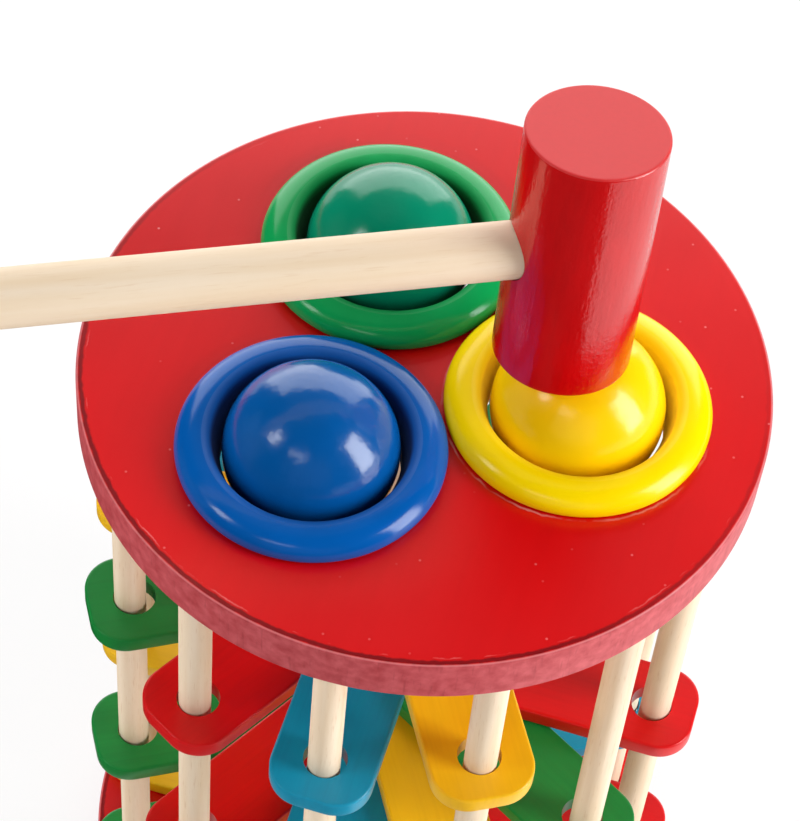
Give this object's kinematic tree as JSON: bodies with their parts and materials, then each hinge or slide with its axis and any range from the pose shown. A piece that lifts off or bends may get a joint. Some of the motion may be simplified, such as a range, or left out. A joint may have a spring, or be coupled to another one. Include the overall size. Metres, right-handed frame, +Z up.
{
  "type": "pound and roll tower",
  "caption": "Wooden pounding tower: balls sit in rings on a round top board, to be struck through onto a winding stair of painted slats inside a cage of dowels; loose mallet.",
  "frame": {"origin": "centre of the base's underside, on the tower's axis", "axes": "+Z up along the tower's axis; -Y towards the front, which the picture looks at from above; +X towards the yellow ball"},
  "size_m": [0.2173, 0.181, 0.351],
  "materials": {
    "red_enamel": "satin red enamel over turned wood",
    "bare_beech": "bare sanded pale beech",
    "yellow_stain": "satin yellow paint",
    "blue_stain": "satin teal-blue paint",
    "red_stain": "satin red paint",
    "green_stain": "satin green paint",
    "blue_ring": "glossy moulded blue plastic",
    "yellow_ring": "glossy moulded yellow plastic",
    "green_ring": "glossy moulded green plastic",
    "blue_enamel": "high-gloss blue enamel over a wooden ball",
    "yellow_enamel": "high-gloss yellow enamel over a wooden ball",
    "green_enamel": "high-gloss green enamel over a wooden ball"
  },
  "bodies": {
    "tower": {"base": "red_enamel", "post": "bare_beech", "dowel_01": "bare_beech", "dowel_02": "bare_beech", "dowel_03": "bare_beech", "dowel_04": "bare_beech", "dowel_05": "bare_beech", "dowel_06": "bare_beech", "dowel_07": "bare_beech", "dowel_08": "bare_beech", "dowel_09": "bare_beech", "dowel_10": "bare_beech", "dowel_11": "bare_beech", "dowel_12": "bare_beech", "slat_01": "yellow_stain", "slat_02": "blue_stain", "slat_03": "red_stain", "slat_04": "green_stain", "slat_05": "yellow_stain", "slat_06": "blue_stain", "slat_07": "red_stain", "slat_08": "green_stain", "slat_09": "yellow_stain", "slat_10": "blue_stain", "slat_11": "red_stain", "slat_12": "green_stain", "slat_13": "yellow_stain", "slat_14": "blue_stain", "slat_15": "red_stain", "slat_16": "green_stain", "slat_17": "yellow_stain", "slat_18": "blue_stain", "slat_19": "red_stain", "slat_20": "green_stain", "slat_21": "yellow_stain", "slat_22": "blue_stain", "slat_23": "red_stain", "slat_24": "green_stain", "slat_25": "yellow_stain", "slat_26": "blue_stain", "slat_27": "red_stain", "slat_28": "green_stain", "slat_29": "yellow_stain", "top_board": "red_enamel", "ring_blue": "blue_ring", "ring_yellow": "yellow_ring", "ring_green": "green_ring"},
    "blue_ball": {"ball_blue": "blue_enamel"},
    "yellow_ball": {"ball_yellow": "yellow_enamel"},
    "green_ball": {"ball_green": "green_enamel"},
    "mallet": {"mallet_head": "red_enamel", "mallet_handle": "bare_beech"}
  },
  "joints": [
    {"name": "blue_ball_drop", "type": "slide", "parent": "tower", "child": "blue_ball", "axis": [0, 0, 1], "range_m": [-0.051, 0.028], "deforming": ["ring_blue"]},
    {"name": "yellow_ball_drop", "type": "slide", "parent": "tower", "child": "yellow_ball", "axis": [0, 0, 1], "range_m": [-0.058, 0], "deforming": ["ring_yellow"]},
    {"name": "green_ball_drop", "type": "slide", "parent": "tower", "child": "green_ball", "axis": [0, 0, 1], "range_m": [-0.075, 0.06], "deforming": ["ring_green"]},
    {"name": "mallet_lift", "type": "slide", "parent": "tower", "child": "mallet", "axis": [-0.0151, 0.1366, 0.9905], "range_m": [0, 0.1]}
  ]
}
